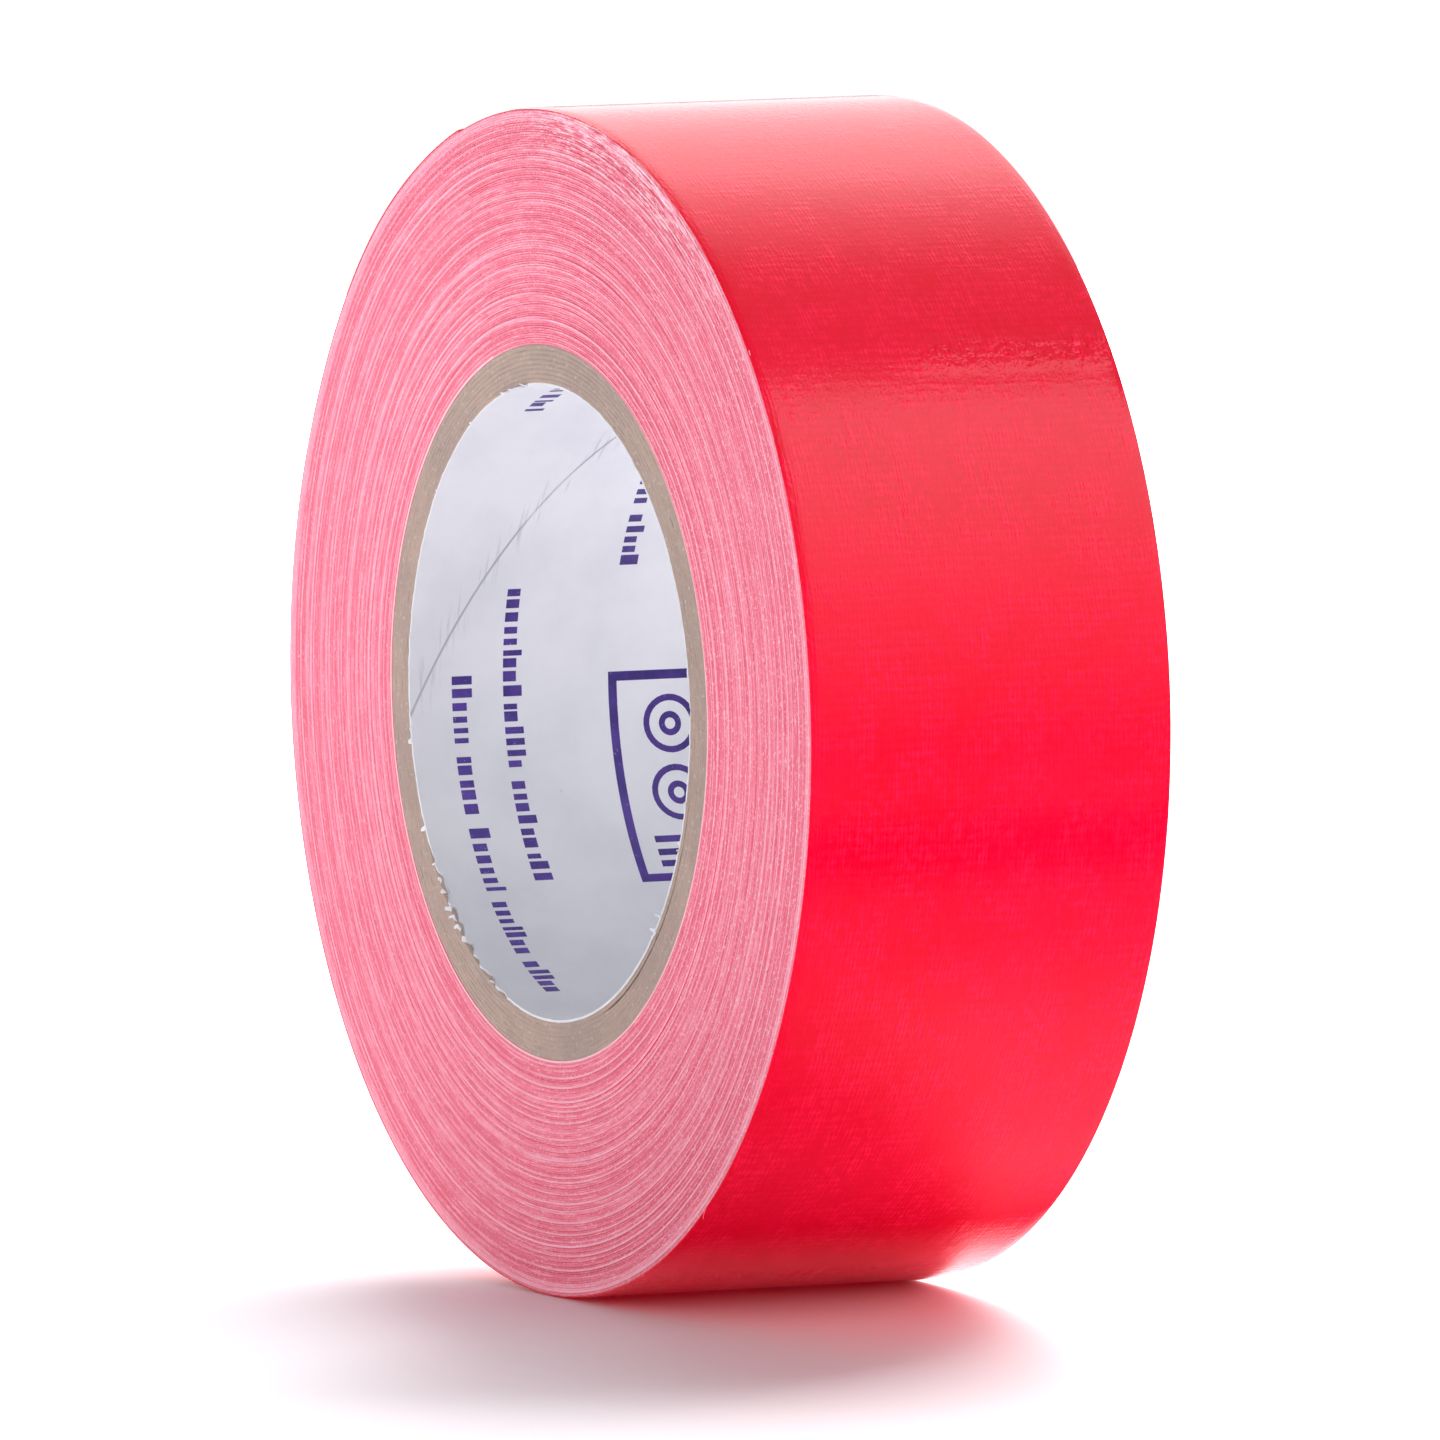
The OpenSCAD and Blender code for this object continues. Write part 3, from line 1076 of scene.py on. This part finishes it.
floorBottom = -rollR
studio = {
    "backdrop": 1.05, "tint": (1.0, 0.985, 1.0, 1),
    "floorSize": 2.8, "floorWhite": (0.93, 0.92, 0.95), "floorRough": 0.50,
    # brightness of the room, wrapped round the roll's axis: angle from +X towards +Z, strength
    "wrap": ((-12, 0.20), (2, 0.30), (22, 0.72), (42, 1.40), (57, 1.70), (66, 1.75), (67.5, 0.34),
             (88, 0.42), (99.5, 0.58), (101, 0.92), (111, 1.15), (125, 2.0), (144, 1.7), (160, 1.5),
             (180, 1.5)),
    "front": 0.86, "frontEdge": (-0.05, -0.45),
    # a dark flag that reflections see between the lit side and the front
    "flagShine": 0.12, "flagNear": (0.36, 0.20), "flagFar": (-0.30, -0.50),
    # how much stronger the fill light is than its reflection: height of its direction, factor
    "fill": ((0.0, 1.55), (0.3, 1.25), (0.6, 0.32), (1.0, 0.15)),
    # soft lamps: place, power, width, and what the lamp lights
    "lamps": {"table": ((-0.95, 0.80, 1.05), 84.0, 1.3, "floor"),
              "back": ((-1.1, 0.50, 1.2), 30.0, 1.2, "roll"),
              "front": ((0.75, -0.5, 0.75), 5.4, 0.9, "roll"),
              "bounce": ((0.70, -0.3, -0.55), 2.2, 0.8, "roll")},
    # painted shade on the table as reflections see it: how dim it is painted, by distance along X
    "tableDim": ((-0.06, 1.0), (0.020, 1.0), (0.030, 0.05), (0.045, 0.30), (0.075, 0.30), (0.109, 0.14),
                 (0.153, 0.08), (0.172, 0.0), (0.243, 0.0), (0.250, 0.10), (0.40, 0.10)),
}
cameraSetup = {"azimuth": 63.6, "elevation": 5.2, "distance": 4.0, "lens": 832.0,
               "right": -0.73 * mm, "up": -3.03 * mm}


def rampNode(tree, value, stops):
    # a piecewise strength, from stops of (position, strength)
    low, high = stops[0][0], stops[-1][0]
    top = max(strength for position, strength in stops)
    ramp = addNode(tree, "ShaderNodeValToRGB")
    elements = ramp.color_ramp.elements
    while len(elements) < len(stops):
        elements.new(0.5)
    for element, (position, strength) in zip(elements, stops):
        element.position = (position - low) / (high - low)
        element.color = (strength / top, strength / top, strength / top, 1)
    link(tree, rangeNode(tree, value, low, high, kind="LINEAR"), ramp.inputs["Fac"])
    return times(tree, ramp.outputs["Color"], top)


def makeFloor():
    bm = bmesh.new()
    bmesh.ops.create_grid(bm, x_segments=8, y_segments=8, size=studio["floorSize"] / 2)
    bmesh.ops.translate(bm, vec=(0, 0, floorBottom), verts=bm.verts)
    material, tree, shader = newMaterial("paleFloor", studio["floorRough"])
    place = objectVector(tree)
    # painted shade: reflections see the floor darker by distance along X, while camera and diffuse rays see
    # it white
    dim = rampNode(tree, separated(tree, place)["X"], studio["tableDim"])
    isGlossy = addNode(tree, "ShaderNodeLightPath").outputs["Is Glossy Ray"]
    white = studio["floorWhite"]
    cloud = noiseNode(tree, place, 3.0, 2.0)
    colour = mixColour(tree, cloud, white, tuple(c * 0.985 for c in white))
    shadedFloorColour = mixColour(tree, dim, (0.0, 0.0, 0.0), white)
    link(tree, mixColour(tree, isGlossy, colour, shadedFloorColour), shader.inputs["Base Color"])
    # the floor has no shine of its own where the roll reflects it
    plainShine = timesPlus(tree, isGlossy, -0.5, 0.5)
    link(tree, plainShine, shader.inputs["Specular IOR Level"])
    mesh = bpy.data.meshes.new("floor")
    bm.to_mesh(mesh)
    bm.free()
    mesh.materials.append(material)
    floor = bpy.data.objects.new("floor", mesh)
    scene.collection.objects.link(floor)


def makeWorld():
    world = bpy.data.worlds.new("studio")
    scene.world = world
    world.use_nodes = True
    tree = world.node_tree
    background = tree.nodes["Background"]
    direction = addNode(tree, "ShaderNodeTexCoord").outputs["Generated"]
    x, y, z = separated(tree, direction)
    angle = mathNode(tree, "DEGREES", mathNode(tree, "ARCTAN2", z, x))
    wrap = rampNode(tree, angle, studio["wrap"])
    inFront = rangeNode(tree, y, *studio["frontEdge"])
    rest = times(tree, wrap, mathNode(tree, "SUBTRACT", 1.0, inFront))
    rays = addNode(tree, "ShaderNodeLightPath").outputs
    fill = rampNode(tree, z, studio["fill"])
    allRound = timesPlus(tree, inFront, studio["front"], rest)
    diffuse = times(tree, fill, allRound)
    near = rangeNode(tree, y, *studio["flagNear"])
    flag = times(tree, near, rangeNode(tree, y, studio["flagFar"][1], studio["flagFar"][0]))
    flagged = mathNode(tree, "SUBTRACT", studio["flagShine"], wrap)
    shine = timesPlus(tree, flag, flagged, wrap)
    change = mathNode(tree, "SUBTRACT", shine, diffuse)
    total = timesPlus(tree, rays["Is Glossy Ray"], change, diffuse)
    backdrop = times(tree, rays["Is Camera Ray"], studio["backdrop"])
    total = mathNode(tree, "MAXIMUM", total, backdrop)
    background.inputs["Color"].default_value = studio["tint"]
    link(tree, total, background.inputs["Strength"])


def makeLamps():
    lit = {"roll": bpy.data.collections.new("rollPieces"), "floor": bpy.data.collections.new("table")}
    blockers = bpy.data.collections.new("rollBlocks")
    for piece in scene.objects:
        if piece.type != "MESH":
            continue
        if piece.name == "floor":
            lit["floor"].objects.link(piece)
            continue
        blockers.objects.link(piece)
        # the liner gets only what the room sends into the bore
        if piece.name != "coreLiner":
            lit["roll"].objects.link(piece)
    for name, (place, power, width, target) in studio["lamps"].items():
        light = bpy.data.lights.new(name + "Lamp", "AREA")
        light.energy = power
        light.size = width
        lamp = bpy.data.objects.new(name + "Lamp", light)
        lamp.location = place
        lamp.rotation_euler = Vector(place).to_track_quat("Z", "Y").to_euler()
        lamp.visible_glossy = False
        lamp.light_linking.receiver_collection = lit[target]
        lamp.light_linking.blocker_collection = blockers
        scene.collection.objects.link(lamp)


def makeCamera():
    setup = cameraSetup
    azimuth = math.radians(setup["azimuth"])
    elevation = math.radians(setup["elevation"])
    back = Vector((math.sin(azimuth) * math.cos(elevation), -math.cos(azimuth) * math.cos(elevation),
                   math.sin(elevation)))
    right = Vector((0, 0, 1)).cross(back).normalized()
    up = back.cross(right)
    data = bpy.data.cameras.new("camera")
    data.sensor_width = 36
    data.lens = setup["lens"]
    data.clip_end = 50
    camera = bpy.data.objects.new("camera", data)
    place = back * setup["distance"] + right * setup["right"] + up * setup["up"]
    camera.matrix_world = Matrix.Translation(place) @ Matrix((right, up, back)).transposed().to_4x4()
    scene.collection.objects.link(camera)
    scene.camera = camera


makeFloor()
makeWorld()
makeLamps()
makeCamera()
scene.view_settings.view_transform = "Standard"
scene.view_settings.look = "None"
print("studio made")
